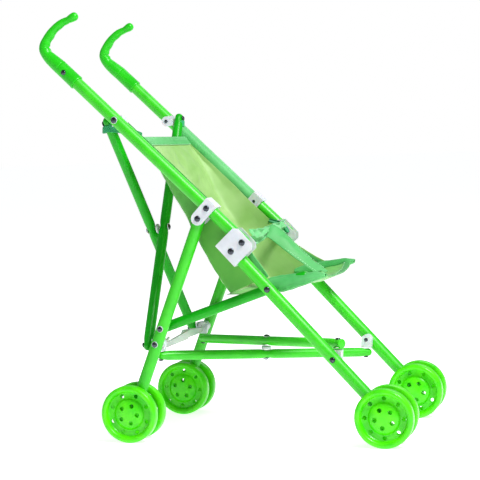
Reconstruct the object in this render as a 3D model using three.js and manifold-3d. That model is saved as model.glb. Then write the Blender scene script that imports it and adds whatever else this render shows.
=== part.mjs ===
// Folding umbrella-style stroller for a doll, in millimetres, +X forward, +Y left, +Z up.
// The origin is on the floor under the middle of the stroller's outer box.
// Each side frame lies in a plane of constant Y. Two crossed tubes join the side frames
// at the back, and two more join them under the seat.

import * as THREE from 'three';
import { mergeVertices } from 'three/addons/utils/BufferGeometryUtils.js';
import Module from 'manifold-3d';

const wasm = await Module();
wasm.setup();

// ---------- driving dimensions ----------

const ORIGIN_SHIFT = 38.1;       // moves the frame points below so that the origin is centred
const SIDE_Y = 106;              // side frame plane, from the middle plane

// Points of a side frame, as [forward, up].
const FRONT_AXLE = [166, 37];
const REAR_AXLE = [-167.8, 37];
const REAR_LEG_PIVOT = [-67.9, 286.8];
const HINGE = [-10.5, 255.6];
const RAIL_FRONT_PIVOT = [19.7, 195.9];
const RAIL_REAR_PIVOT = [-124.9, 146];
const TOP_CROSS_PIVOT = [-176.6, 415.6];
const REAR_CROSS_PIVOT = [-132.9, 125.9];
const FRONT_CROSS_PIVOT = [101, 107.4];

const TUBE_R = 8;                // handle tubes and front legs
const REAR_LEG_R = 7.7;
const RAIL_R = 6.6;
const BACK_CROSS_R = 6.8;
const BOTTOM_CROSS_R = 6.3;
const CLEARANCE = 0.3;           // around anything that turns or is pushed in
const CROSSING_PLAY = 1.3;       // lets the bottom tubes settle round their pin as they fold

const RAIL_LENGTH = 198;
const RAIL_INSET = 16.8;         // rail axis, inboard of the side frame plane
const LEG_TOP_PAST_HINGE = 14;
const HANDLE_TUBE_LENGTH = 328;  // from the hinge to the end inside the grip
const SOCKET_DEPTH = 25;         // how far the grip reaches down over the handle tube

const BACK_CROSS_Y = 90.9;       // where the back cross tubes are held, from the middle plane
const TOP_CLIP_Y = 84.6;         // inner faces of the clips at the handle tubes
const REAR_CLIP_Y = 92.1;        // inner faces of the clips behind the rear legs
const BOTTOM_CLIP_Y = 83.2;      // inner faces of the clips on the bottom cross tubes
const REAR_FOOT_CLIP_Y = 91.7;   // outer faces of the clips at the rear ends of the bottom tubes
const FRONT_CLIP_Y = 96.4;       // outer faces of the clips at the front ends of the bottom tubes
const BRACKET_REACH = 17.7;      // between the two rivets of a rear leg bracket
const BOTTOM_CROSS_Y = 87.4;     // where the bottom cross tubes are held
const CROSS_OFFSET = 17.5;       // cross tube axis to the connector's pivot
const TILTED_GAP = 1.2;          // connector to a cross tube that leans towards it
const BACK_CROSS_PAST_PIN = 8;
const BOTTOM_CROSS_PAST_REAR_PIN = 5;
const BOTTOM_CROSS_PAST_FRONT_PIN = 8;

const WHEEL_R = 37;
const WHEEL_HALF_GAP = 8.5;      // leg axis to the wheel's inner face
const WHEEL_WIDTH = 15.6;
const AXLE_R = 3;
const WHEEL_SIDES = 24;

const RIVET_R = 2;
const RIVET_HEAD_R = 3.8;
const RIVET_HEAD_HEIGHT = 1.7;

const CLIP_WALL = 1.9;           // walls of the white plastic clips

const FABRIC = 1.6;              // thickness of the cloth solids

// ---------- materials ----------

function finish(color, roughness, metalness = 0) {
  return new THREE.MeshStandardMaterial({ color, roughness, metalness });
}
const finishes = {
  tube: () => finish(0x23c41a, 0.3, 0.2),
  crossTube: () => finish(0x17a81c, 0.35, 0.2),
  grip: () => finish(0x3fd32c, 0.35),
  wheel: () => finish(0x4ad61f, 0.3),
  clip: () => finish(0xe6e9ec, 0.45),
  rivet: () => finish(0x6b7076, 0.3, 0.9),
  cloth: () => finish(0x8fdc8a, 0.8),
  strap: () => finish(0x66dd84, 0.75),
};

const stroller = new THREE.Group();
stroller.position.x = ORIGIN_SHIFT;

function addPiece(name, geometry, material) {
  const mesh = new THREE.Mesh(geometry, material);
  mesh.name = name;
  stroller.add(mesh);
}

// ---------- solid helpers ----------

function toSolid(geometry) {
  const bare = geometry.clone();
  bare.deleteAttribute('normal');
  bare.deleteAttribute('uv');
  const welded = mergeVertices(bare, 1e-4);
  return new wasm.Manifold(new wasm.Mesh({
    numProp: 3,
    vertProperties: new Float32Array(welded.attributes.position.array),
    triVerts: new Uint32Array(welded.index.array),
  }));
}

function toGeometry(solid) {
  const mesh = solid.getMesh();
  const geometry = new THREE.BufferGeometry();
  geometry.setAttribute('position', new THREE.BufferAttribute(mesh.vertProperties, 3));
  geometry.setIndex(new THREE.BufferAttribute(mesh.triVerts, 1));
  geometry.computeVertexNormals();
  return geometry;
}

function cut(geometry, ...tools) {
  return toGeometry(tools.reduce((solid, tool) => solid.subtract(toSolid(tool)), toSolid(geometry)));
}

function join(geometry, ...others) {
  return toGeometry(others.reduce((solid, other) => solid.add(toSolid(other)), toSolid(geometry)));
}

// ---------- places and directions ----------

const V = (x, y, z) => new THREE.Vector3(x, y, z);
const inPlane = ([x, z], y) => V(x, y, z);
const along = (from, to) => inPlane(to, 0).sub(inPlane(from, 0)).normalize();
const ACROSS = V(0, 1, 0);
const forwardNormal = (direction) => V(-direction.z, 0, direction.x);

const handleDown = along(TOP_CROSS_PIVOT, HINGE);
const frontLegDown = along(RAIL_FRONT_PIVOT, FRONT_AXLE);
const rearLegDown = along(REAR_LEG_PIVOT, REAR_AXLE);
const railForward = along(RAIL_REAR_PIVOT, RAIL_FRONT_PIVOT);
const backCrossDown = along(TOP_CROSS_PIVOT, REAR_CROSS_PIVOT);
const backCrossNormal = forwardNormal(backCrossDown);
const bottomCrossForward = along(REAR_CROSS_PIVOT, FRONT_CROSS_PIVOT);
const bottomCrossNormal = forwardNormal(bottomCrossForward);

// Turns a geometry made along +Y so that it runs from `from` to `to`.
function placeAlong(geometry, from, to) {
  const direction = to.clone().sub(from).normalize();
  const turn = new THREE.Quaternion().setFromUnitVectors(ACROSS, direction);
  return geometry.applyQuaternion(turn).translate(from.x, from.y, from.z);
}

// A straight round rod with flat ends.
function rod(from, to, radius, sides = 16) {
  const length = from.distanceTo(to);
  const geometry = new THREE.CylinderGeometry(radius, radius, length, sides);
  return placeAlong(geometry.translate(0, length / 2, 0), from, to);
}

// A straight tube whose ends are closed by round caps. capStart and capEnd are the caps' heights.
function cappedTube(from, to, radius, capStart, capEnd, sides = 16) {
  const length = from.distanceTo(to);
  const profile = [];
  const steps = 3;
  const capPoint = (cap, k) => {
    const angle = (k / steps) * Math.PI / 2;
    return [radius * Math.sin(angle), cap * (1 - Math.cos(angle))];
  };
  for (let k = 0; k <= steps; k += 1) {
    const [r, h] = capPoint(capStart, k);
    profile.push(new THREE.Vector2(k === 0 ? 0 : r, h));
  }
  for (let k = steps; k >= 0; k -= 1) {
    const [r, h] = capPoint(capEnd, k);
    profile.push(new THREE.Vector2(k === 0 ? 0 : r, length - h));
  }
  return placeAlong(new THREE.LatheGeometry(profile, sides), from, to);
}

// A flat shape drawn in the [forward, up] plane, from one Y to another.
function plate(shape, yFrom, yTo, curveSegments = 6) {
  const low = Math.min(yFrom, yTo);
  const depth = Math.abs(yTo - yFrom);
  const geometry = new THREE.ExtrudeGeometry(shape, { depth, bevelEnabled: false, curveSegments });
  // The extrusion runs along +Z of the drawing, so it is turned to run along -Y and moved back.
  return geometry.rotateX(Math.PI / 2).translate(0, low + depth, 0);
}

// An outline that is a rectangle with one round end, in the [forward, up] plane.
// `centre` is the round end's centre; `out` points from it to the square end.
function tongue(centre, out, reach, radius, squareHalfWidth = radius) {
  const side = V(-out.z, 0, out.x);
  const point = (a, b) => [
    centre[0] + out.x * a + side.x * b,
    centre[1] + out.z * a + side.z * b,
  ];
  const shape = new THREE.Shape();
  shape.moveTo(...point(reach, -squareHalfWidth));
  shape.lineTo(...point(reach, squareHalfWidth));
  const steps = 8;
  for (let k = 0; k <= steps; k += 1) {
    const angle = Math.PI / 2 + (k / steps) * Math.PI;
    shape.lineTo(...point(radius * Math.cos(angle), radius * Math.sin(angle)));
  }
  shape.closePath();
  return shape;
}

// A rivet along Y: a shank with a domed head at `headY`, ending at `tailY`.
function rivet(point, headY, tailY) {
  const outward = Math.sign(headY - tailY);
  const length = Math.abs(headY - tailY);
  const profile = [
    [0, 0], [RIVET_R, 0], [RIVET_R, length], [RIVET_HEAD_R, length],
    [RIVET_HEAD_R * 0.78, length + RIVET_HEAD_HEIGHT * 0.7], [0, length + RIVET_HEAD_HEIGHT],
  ].map(([r, h]) => new THREE.Vector2(r, h));
  const from = inPlane(point, tailY);
  return placeAlong(new THREE.LatheGeometry(profile, 12), from, from.clone().addScaledVector(ACROSS, outward));
}

const boreAt = (point, yFrom, yTo, radius = RIVET_R + CLEARANCE) =>
  rod(inPlane(point, yFrom), inPlane(point, yTo), radius, 12);

function offset([x, z], direction, distance) {
  return [x + direction.x * distance, z + direction.z * distance];
}

// ---------- side frames ----------

// Foot of the hinge point on the front leg's axis, and the rivet that fixes the hinge block there.
const hingeToRail = inPlane(HINGE, 0).sub(inPlane(RAIL_FRONT_PIVOT, 0));
const hingeFoot = offset(RAIL_FRONT_PIVOT, frontLegDown, hingeToRail.dot(frontLegDown));
const BLOCK_LEG_RIVET = offset(hingeFoot, frontLegDown, -2);
const BRACKET_RIVET = offset(REAR_LEG_PIVOT, V(-handleDown.z, 0, handleDown.x), BRACKET_REACH);
const HANDLE_TOP = offset(HINGE, handleDown, -HANDLE_TUBE_LENGTH);

function handleTube(side) {
  const y = side * SIDE_Y;
  const tube = cappedTube(inPlane(HANDLE_TOP, y), inPlane(offset(HINGE, handleDown, TUBE_R), y), TUBE_R, 1, TUBE_R);
  const reach = TUBE_R + 2;
  return cut(
    tube,
    boreAt(HINGE, y - reach, y + reach),
    boreAt(BRACKET_RIVET, y - reach, y + reach),
  );
}

function frontLeg(side) {
  const y = side * SIDE_Y;
  const top = offset(hingeFoot, frontLegDown, -LEG_TOP_PAST_HINGE - TUBE_R);
  const bottom = offset(FRONT_AXLE, frontLegDown, TUBE_R);
  const tube = cappedTube(inPlane(top, y), inPlane(bottom, y), TUBE_R, TUBE_R, 3);
  const reach = TUBE_R + 2;
  return cut(
    tube,
    boreAt(BLOCK_LEG_RIVET, y - reach, y + reach),
    boreAt(RAIL_FRONT_PIVOT, y - reach, y + reach),
    boreAt(FRONT_AXLE, y - reach, y + reach, AXLE_R + CLEARANCE),
  );
}

function rearLeg(side) {
  const y = side * SIDE_Y;
  const top = offset(REAR_LEG_PIVOT, rearLegDown, -REAR_LEG_R);
  const bottom = offset(REAR_AXLE, rearLegDown, TUBE_R);
  const tube = cappedTube(inPlane(top, y), inPlane(bottom, y), REAR_LEG_R, REAR_LEG_R, 3);
  const reach = TUBE_R + 2;
  return cut(
    tube,
    boreAt(REAR_LEG_PIVOT, y - reach, y + reach),
    boreAt(REAR_AXLE, y - reach, y + reach, AXLE_R + CLEARANCE),
  );
}

function seatRail(side) {
  const y = side * (SIDE_Y - RAIL_INSET);
  const rear = offset(RAIL_REAR_PIVOT, railForward, -RAIL_R);
  const front = offset(RAIL_REAR_PIVOT, railForward, RAIL_LENGTH + RAIL_R);
  const tube = cappedTube(inPlane(rear, y), inPlane(front, y), RAIL_R, RAIL_R, RAIL_R);
  return cut(tube, boreAt(RAIL_FRONT_PIVOT, y - TUBE_R, y + TUBE_R));
}

// The clip that carries the rear leg: it is folded round the handle tube, and its two cheeks
// hold the top of the rear leg.
function rearLegBracket(side) {
  const y = side * SIDE_Y;
  const half = TUBE_R + CLEARANCE + CLIP_WALL;
  const up = V(-handleDown.z, 0, handleDown.x);
  const reach = BRACKET_REACH + TUBE_R + CLEARANCE + CLIP_WALL;
  const body = plate(tongue(REAR_LEG_PIVOT, up, reach, 8.6), y - half, y + half);
  const tubeRoom = rod(
    inPlane(offset(BRACKET_RIVET, handleDown, -30), y),
    inPlane(offset(BRACKET_RIVET, handleDown, 30), y),
    TUBE_R + CLEARANCE,
  );
  const slotHalf = TUBE_R + CLEARANCE;
  const slot = plate(
    tongue(offset(REAR_LEG_PIVOT, up, -20), up, 20 + BRACKET_REACH, 20, 20), y - slotHalf, y + slotHalf);
  return cut(body, tubeRoom, slot, boreAt(REAR_LEG_PIVOT, y - 20, y + 20), boreAt(BRACKET_RIVET, y - 20, y + 20));
}

// The clip that joins the handle tube to the front leg: folded round the leg, open towards
// the front so that the handle tube can swing out of it.
function hingeBlock(side) {
  const y = side * SIDE_Y;
  const half = TUBE_R + CLEARANCE + 1.5;
  const out = V(-frontLegDown.z, 0, frontLegDown.x);
  const below = 15;
  const above = 21;
  const back = TUBE_R + CLEARANCE + CLIP_WALL;
  const front = 17.5 + TUBE_R + 1.5;
  const point = (a, b) => {
    const p = offset(hingeFoot, frontLegDown, a);
    return offset(p, out, b);
  };
  const corner = 5;
  const outline = [
    [-above, -back], [below, -back],
    [below, front - corner], [below - corner, front],
    [-above + corner, front], [-above, front - corner],
  ];
  const shape = new THREE.Shape(outline.map(([a, b]) => new THREE.Vector2(...point(a, b))));
  const body = plate(shape, y - half, y + half);
  const tubeRoom = rod(inPlane(point(-40, 0), y), inPlane(point(40, 0), y), TUBE_R + CLEARANCE);
  const slotOutline = [[-40, 0], [40, 0], [40, 60], [-40, 60]];
  const slotShape = new THREE.Shape(slotOutline.map(([a, b]) => new THREE.Vector2(...point(a, b))));
  const slotHalf = TUBE_R + CLEARANCE;
  const slot = plate(slotShape, y - slotHalf, y + slotHalf);
  return cut(body, tubeRoom, slot, boreAt(HINGE, y - 20, y + 20), boreAt(BLOCK_LEG_RIVET, y - 20, y + 20));
}

// The moulded grip: a socket over the tube's top and a hook that ends in a ball.
function grip(side) {
  const y = side * SIDE_Y;
  const lean = (fraction) => y - side * 6 * fraction;
  const hook = [
    [-250.5, 486.8], [-257.8, 493], [-266.5, 501], [-272.5, 509.5], [-273, 516.5],
    [-269.5, 523.7], [-262.5, 533.2], [-251, 543], [-239.5, 548], [-231, 552],
  ];
  const points = hook.map((p, k) => inPlane(p, lean(k / (hook.length - 1))));
  const path = new THREE.CatmullRomCurve3(points);
  const section = new THREE.Shape();
  section.absarc(0, 0, 6.2, 0, Math.PI * 2);
  const bend = new THREE.ExtrudeGeometry(section, {
    steps: 14, curveSegments: 4, bevelEnabled: false, extrudePath: path,
  });
  const ball = new THREE.SphereGeometry(6.3, 12, 8).translate(...points.at(-1).toArray());
  const socketEnd = offset(HANDLE_TOP, handleDown, SOCKET_DEPTH);
  const socketTop = offset(HANDLE_TOP, handleDown, -9);
  const socket = cappedTube(inPlane(socketTop, y), inPlane(socketEnd, y), 9.7, 4, 0.8);
  const room = rod(
    inPlane(offset(HANDLE_TOP, handleDown, -CLEARANCE), y),
    inPlane(offset(socketEnd, handleDown, 5), y), TUBE_R + CLEARANCE);
  return cut(join(socket, bend, ball), room);
}

// ---------- swivel connectors ----------

// A disc on a side frame's pivot with a tab whose flat end meets a cross tube.
function connector(pivot, tabDirection, yFrom, yTo, tubeRadius, gap, discRadius = 6.8, halfWidth = 6.5) {
  const reach = CROSS_OFFSET - tubeRadius - gap;
  return plate(tongue(pivot, tabDirection, reach, discRadius, halfWidth), yFrom, yTo);
}

// ---------- wheels ----------

// One dished wheel disc. Heights run outward along the axle, from the face by the leg.
function wheelDisc() {
  const round = WHEEL_R / Math.cos(Math.PI / WHEEL_SIDES);
  const profile = [
    [0, 7.5], [AXLE_R + CLEARANCE, 7.5], [AXLE_R + CLEARANCE, 0], [9, 0], [9, 5], [29, 5], [30, 0.5],
    [round, 0.5], [round, 12], [33, WHEEL_WIDTH], [28.5, 8], [0, 12.6],
  ].map(([r, h]) => new THREE.Vector2(r, h));
  return new THREE.LatheGeometry(profile, WHEEL_SIDES).rotateY(Math.PI / WHEEL_SIDES);
}

function wheelPair(corner, axle, side) {
  for (const [place, outward] of [['outer', side], ['inner', -side]]) {
    const from = inPlane(axle, side * SIDE_Y + outward * WHEEL_HALF_GAP);
    const disc = wheelDisc();
    if (outward < 0) {
      disc.rotateX(Math.PI);
    }
    addPiece(`${corner}_${place}_wheel`, disc.translate(from.x, from.y, from.z), finishes.wheel());
  }
  const half = WHEEL_HALF_GAP + 7.2;
  const shaft = rod(inPlane(axle, side * SIDE_Y - half), inPlane(axle, side * SIDE_Y + half), AXLE_R, 12);
  addPiece(`${corner}_axle`, shaft, finishes.rivet());
}

// ---------- assembly of both sides ----------

for (const [label, side] of [['right', -1], ['left', 1]]) {
  const y = side * SIDE_Y;
  const outer = (reach) => y + side * reach;
  const inner = (reach) => y - side * reach;

  addPiece(`${label}_grip`, grip(side), finishes.grip());
  addPiece(`${label}_handle_tube`, handleTube(side), finishes.tube());
  addPiece(`${label}_front_leg`, frontLeg(side), finishes.tube());
  addPiece(`${label}_rear_leg`, rearLeg(side), finishes.tube());
  addPiece(`${label}_seat_rail`, seatRail(side), finishes.tube());
  addPiece(`${label}_rear_leg_bracket`, rearLegBracket(side), finishes.clip());
  addPiece(`${label}_hinge_block`, hingeBlock(side), finishes.clip());

  // Rivets: the heads are on the outside and the tails are flush with the inner wall.
  const clipFace = TUBE_R + CLEARANCE + CLIP_WALL;
  addPiece(`${label}_rear_leg_rivet`, rivet(REAR_LEG_PIVOT, outer(clipFace + 0.2), inner(clipFace)), finishes.rivet());
  addPiece(`${label}_bracket_rivet`, rivet(BRACKET_RIVET, outer(clipFace + 0.2), inner(clipFace)), finishes.rivet());
  const blockFace = TUBE_R + CLEARANCE + 1.5;
  addPiece(`${label}_hinge_rivet`, rivet(HINGE, outer(blockFace + 0.2), inner(blockFace)), finishes.rivet());
  addPiece(`${label}_hinge_block_rivet`, rivet(BLOCK_LEG_RIVET, outer(blockFace + 0.2), inner(blockFace)), finishes.rivet());
  addPiece(`${label}_rail_rivet`, rivet(RAIL_FRONT_PIVOT, outer(TUBE_R + 0.2), inner(TUBE_R)), finishes.rivet());

  // Swivel connectors. The back cross tubes are held at three of the four places on their rear
  // side; the left top one is held on its front side, so that the tubes pass each other.
  const innerFace = side * (SIDE_Y - TUBE_R - 0.6);
  const rearward = backCrossNormal.clone().negate();
  const topTab = side < 0 ? rearward : backCrossNormal;
  const topGap = side < 0 ? CLEARANCE : TILTED_GAP;
  const backGap = side < 0 ? TILTED_GAP : CLEARANCE;
  addPiece(
    `${label}_top_connector`,
    connector(TOP_CROSS_PIVOT, topTab, innerFace, side * TOP_CLIP_Y, BACK_CROSS_R, topGap),
    finishes.clip());
  const backDisc = connector(REAR_CROSS_PIVOT, rearward, innerFace, side * REAR_CLIP_Y, BACK_CROSS_R, backGap);
  const padReach = CROSS_OFFSET - BACK_CROSS_R - backGap;
  const padCentre = offset(REAR_CROSS_PIVOT, rearward, padReach - 0.9);
  const pad = new THREE.BoxGeometry(1.8, 13, 13);
  pad.rotateY(-Math.atan2(rearward.z, rearward.x));
  pad.translate(padCentre[0], side * BACK_CROSS_Y, padCentre[1]);
  addPiece(`${label}_back_connector`, join(backDisc, pad), finishes.clip());
  const downward = bottomCrossNormal.clone().negate();
  const rearFootGap = side < 0 ? CLEARANCE : TILTED_GAP;
  const frontGap = side < 0 ? TILTED_GAP : CLEARANCE;
  addPiece(
    `${label}_rear_foot_connector`,
    connector(REAR_CROSS_PIVOT, downward, side * BOTTOM_CLIP_Y, side * REAR_FOOT_CLIP_Y, BOTTOM_CROSS_R, rearFootGap, 6.8, 5),
    finishes.clip());
  const frontTab = side > 0 ? downward : bottomCrossNormal;
  addPiece(
    `${label}_front_connector`,
    connector(FRONT_CROSS_PIVOT, frontTab, side * BOTTOM_CLIP_Y, side * FRONT_CLIP_Y, BOTTOM_CROSS_R, frontGap),
    finishes.clip());

  wheelPair(`${label}_front`, FRONT_AXLE, side);
  wheelPair(`${label}_rear`, REAR_AXLE, side);
}

// ---------- cross tubes ----------

function crossTube(from, to, radius, pastStart, pastEnd) {
  const direction = to.clone().sub(from).normalize();
  return cappedTube(
    from.clone().addScaledVector(direction, -pastStart),
    to.clone().addScaledVector(direction, pastEnd), radius, radius * 0.8, radius * 0.8);
}

const behind = (pivot, y, distance) => inPlane(offset(pivot, backCrossNormal, distance), y);
const above = (pivot, y, distance) => inPlane(offset(pivot, bottomCrossNormal, distance), y);

const backPinMiddle = inPlane([
  (TOP_CROSS_PIVOT[0] + REAR_CROSS_PIVOT[0]) / 2,
  (TOP_CROSS_PIVOT[1] + REAR_CROSS_PIVOT[1]) / 2,
], 0);
const bottomPinMiddle = inPlane([
  (REAR_CROSS_PIVOT[0] + FRONT_CROSS_PIVOT[0]) / 2,
  (REAR_CROSS_PIVOT[1] + FRONT_CROSS_PIVOT[1]) / 2,
], 0);

function pinBore(middle, normal, radius) {
  return rod(middle.clone().addScaledVector(normal, -40), middle.clone().addScaledVector(normal, 40), radius, 12);
}

const backRear = crossTube(
  behind(TOP_CROSS_PIVOT, -BACK_CROSS_Y, -CROSS_OFFSET),
  behind(REAR_CROSS_PIVOT, BACK_CROSS_Y, -CROSS_OFFSET),
  BACK_CROSS_R, BACK_CROSS_PAST_PIN, BACK_CROSS_PAST_PIN);
const backFront = crossTube(
  behind(TOP_CROSS_PIVOT, BACK_CROSS_Y, CROSS_OFFSET),
  behind(REAR_CROSS_PIVOT, -BACK_CROSS_Y, -CROSS_OFFSET),
  BACK_CROSS_R, BACK_CROSS_PAST_PIN, BACK_CROSS_PAST_PIN);
const bottomLow = crossTube(
  above(REAR_CROSS_PIVOT, -BOTTOM_CROSS_Y, -CROSS_OFFSET),
  above(FRONT_CROSS_PIVOT, BOTTOM_CROSS_Y, -CROSS_OFFSET),
  BOTTOM_CROSS_R, BOTTOM_CROSS_PAST_REAR_PIN, BOTTOM_CROSS_PAST_FRONT_PIN);
const bottomHigh = crossTube(
  above(REAR_CROSS_PIVOT, BOTTOM_CROSS_Y, -CROSS_OFFSET),
  above(FRONT_CROSS_PIVOT, -BOTTOM_CROSS_Y, CROSS_OFFSET),
  BOTTOM_CROSS_R, BOTTOM_CROSS_PAST_REAR_PIN, BOTTOM_CROSS_PAST_FRONT_PIN);

const backBore = pinBore(backPinMiddle, backCrossNormal, RIVET_R + CLEARANCE);
const bottomBore = pinBore(bottomPinMiddle, bottomCrossNormal, RIVET_R + CLEARANCE);
const bottomLooseBore = pinBore(bottomPinMiddle, bottomCrossNormal, RIVET_R + CROSSING_PLAY);
addPiece('back_cross_tube_rear', cut(backRear, backBore), finishes.crossTube());
addPiece('back_cross_tube_front', cut(backFront, backBore), finishes.crossTube());
addPiece('bottom_cross_tube_low', cut(bottomLow, bottomBore), finishes.tube());
addPiece('bottom_cross_tube_high', cut(bottomHigh, bottomLooseBore), finishes.tube());

// The pin through a crossing, with a collar that keeps the two tubes apart.
function crossingPin(middle, normal, tubeRadius) {
  const low = -CROSS_OFFSET - tubeRadius;
  const high = tubeRadius + TILTED_GAP - CLEARANCE;
  const collarFrom = -CROSS_OFFSET + tubeRadius + CLEARANCE;
  const collarTo = -tubeRadius - TILTED_GAP;
  const profile = [
    [0, low - 1.8], [2.8, low - 1.4], [RIVET_HEAD_R, low - CLEARANCE], [RIVET_R, low - CLEARANCE],
    [RIVET_R, collarFrom], [6, collarFrom], [6, collarTo], [RIVET_R, collarTo],
    [RIVET_R, high + CLEARANCE], [RIVET_HEAD_R, high + CLEARANCE], [2.8, high + 1.4], [0, high + 1.8],
  ].map(([r, h]) => new THREE.Vector2(r, h));
  return placeAlong(new THREE.LatheGeometry(profile, 16), middle, middle.clone().add(normal));
}
addPiece('back_crossing_pin', crossingPin(backPinMiddle, backCrossNormal, BACK_CROSS_R), finishes.rivet());
addPiece('bottom_crossing_pin', crossingPin(bottomPinMiddle, bottomCrossNormal, BOTTOM_CROSS_R), finishes.rivet());

// ---------- locking brace between the rear legs ----------

const BRACE_PIVOT_Y = 75;
const BRACE_OVERLAP = 13;
const BRACE_HALF_HEIGHT = 7.6;
const BRACE_THICKNESS = 2.4;
const BRACE_GAP = 0.3;
const braceUp = rearLegDown.clone().negate();
const braceForward = V(braceUp.z, 0, -braceUp.x);

// One half of the brace, lapped over the other at the middle and arched along its lower edge.
function braceHalf(side, layer) {
  const shape = new THREE.Shape();
  const end = BRACE_PIVOT_Y + BRACE_OVERLAP;
  const steps = 6;
  for (let k = 0; k <= steps; k += 1) {
    const angle = Math.PI / 2 + (k / steps) * Math.PI;
    shape.lineTo(BRACE_HALF_HEIGHT * Math.cos(angle), BRACE_HALF_HEIGHT * Math.sin(angle));
  }
  shape.lineTo(end, -BRACE_HALF_HEIGHT);
  shape.lineTo(end, BRACE_HALF_HEIGHT);
  shape.closePath();
  const geometry = new THREE.ExtrudeGeometry(shape, { depth: BRACE_THICKNESS, bevelEnabled: false });
  const basis = new THREE.Matrix4().makeBasis(
    V(0, -side, 0), braceUp, V(0, -side, 0).cross(braceUp));
  geometry.applyMatrix4(basis);
  const depthSign = Math.sign(V(0, -side, 0).cross(braceUp).dot(braceForward));
  const base = layer * (BRACE_THICKNESS + BRACE_GAP) + (depthSign < 0 ? BRACE_THICKNESS : 0);
  const start = inPlane(REAR_CROSS_PIVOT, side * BRACE_PIVOT_Y).addScaledVector(braceForward, base);
  return geometry.translate(start.x, start.y, start.z);
}
addPiece('right_brace', braceHalf(-1, 1), finishes.clip());
addPiece('left_brace', braceHalf(1, 0), finishes.clip());

// ---------- cloth ----------

// A strip with the given side outline, from one Y to another: the outline is thickened downward.
function sling(outline, halfWidth) {
  const points = new THREE.SplineCurve(outline.map(([x, z]) => new THREE.Vector2(x, z))).getPoints(12);
  const under = points.map((p, k) => {
    const before = points[Math.max(k - 1, 0)];
    const after = points[Math.min(k + 1, points.length - 1)];
    const direction = after.clone().sub(before).normalize();
    return new THREE.Vector2(p.x + direction.y * FABRIC, p.y - direction.x * FABRIC);
  });
  return plate(new THREE.Shape([...points, ...under.reverse()]), -halfWidth, halfWidth);
}

const BACK_HALF_WIDTH = 76;
const BASE_HALF_WIDTH = 78;
addPiece('seat_back_cloth', sling(
  [[-148, 394], [-141, 372], [-104, 310], [-72, 240], [-56, 204], [-46, 190]], BACK_HALF_WIDTH), finishes.cloth());
addPiece('seat_base_cloth', sling(
  [[-44, 188], [-20, 184], [20, 190], [58, 200], [84, 210]], BASE_HALF_WIDTH), finishes.cloth());

// Side wings: from the back's edge out to the handle tube, just inside it.
for (const [label, side] of [['right', -1], ['left', 1]]) {
  const outline = [[-150, 382], [-32, 266], [-8, 232], [12, 206], [-14, 193], [-42, 200], [-68, 244], [-101, 312]];
  const shape = new THREE.Shape(outline.map(([x, z]) => new THREE.Vector2(x, z)));
  addPiece(`${label}_wing_cloth`, plate(shape, side * 77, side * (77 + FABRIC)), finishes.cloth());
}

// A flat strap along a path, with its width across the path.
function strap(points, width, thickness) {
  const path = new THREE.CatmullRomCurve3(points);
  const section = new THREE.Shape();
  section.absellipse(0, 0, width / 2, thickness / 2, 0, Math.PI * 2);
  return new THREE.ExtrudeGeometry(section, { steps: 12, curveSegments: 4, bevelEnabled: false, extrudePath: path });
}
addPiece('waist_belt', strap(
  [V(-7, -90, 258), V(-7, -50, 259), V(-8, 0, 260), V(-10, 50, 261), V(-12, 90, 261)], 19, 4), finishes.strap());
addPiece('crotch_strap', strap(
  [V(-1, 0, 257), V(17, 0, 245), V(37, 0, 229), V(52, 0, 216), V(62, 0, 208)], 14, 3), finishes.strap());

export default stroller;
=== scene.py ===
"""A doll's folding stroller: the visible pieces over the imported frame, in metres, +X forward, +Z up."""
import math

import bmesh
import bpy
from mathutils import Matrix, Vector, noise


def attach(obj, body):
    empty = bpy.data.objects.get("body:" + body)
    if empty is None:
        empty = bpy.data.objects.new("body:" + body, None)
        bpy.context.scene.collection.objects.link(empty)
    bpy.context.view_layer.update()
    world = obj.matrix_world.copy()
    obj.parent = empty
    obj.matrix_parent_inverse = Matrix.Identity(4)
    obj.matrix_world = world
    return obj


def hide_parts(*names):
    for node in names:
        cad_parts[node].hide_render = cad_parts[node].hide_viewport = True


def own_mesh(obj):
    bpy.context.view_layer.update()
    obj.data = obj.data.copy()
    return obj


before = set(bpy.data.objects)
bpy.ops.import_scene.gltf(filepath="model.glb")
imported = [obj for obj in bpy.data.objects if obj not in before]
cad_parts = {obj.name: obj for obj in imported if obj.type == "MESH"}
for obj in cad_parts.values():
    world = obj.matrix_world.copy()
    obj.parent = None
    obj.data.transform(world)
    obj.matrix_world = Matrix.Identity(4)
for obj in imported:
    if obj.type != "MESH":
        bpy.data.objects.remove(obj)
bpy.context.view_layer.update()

# ---------- places, in millimetres from the middle of the wheelbase ----------

SHIFT_X = 38.1
SIDE_Y = 106.0
FRONT_AXLE = (166.0, 37.0)
REAR_AXLE = (-167.8, 37.0)
REAR_LEG_PIVOT = (-67.9, 286.8)
HINGE = (-10.5, 255.6)
RAIL_FRONT_PIVOT = (19.7, 195.9)
RAIL_REAR_PIVOT = (-124.9, 146.0)
TOP_CROSS_PIVOT = (-176.6, 415.6)
REAR_CROSS_PIVOT = (-132.9, 125.9)
FRONT_CROSS_PIVOT = (101.0, 107.4)
CROSS_OFFSET = 17.5
BACK_CROSS_Y = 90.9
BOTTOM_CROSS_Y = 87.4
HANDLE_TUBE_R = 8
REAR_LEG_R = 7.7
RAIL_R = 6.6
RAIL_INSET = 16.8
BACK_CROSS_R = 6.8
BOTTOM_CROSS_R = 6.3
BRACKET_REACH = 17.7
HANDLE_TUBE_LENGTH = 328
SIDES = (("right", -1), ("left", 1))


def metres(x, y, z):
    return Vector(((x + SHIFT_X) / 1000, y / 1000, z / 1000))


def at(point, y):
    return metres(point[0], y, point[1])


def direction(a, b):
    return Vector((b[0] - a[0], 0, b[1] - a[1])).normalized()


def moved(point, way, distance):
    return (point[0] + way.x * distance, point[1] + way.z * distance)


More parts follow.
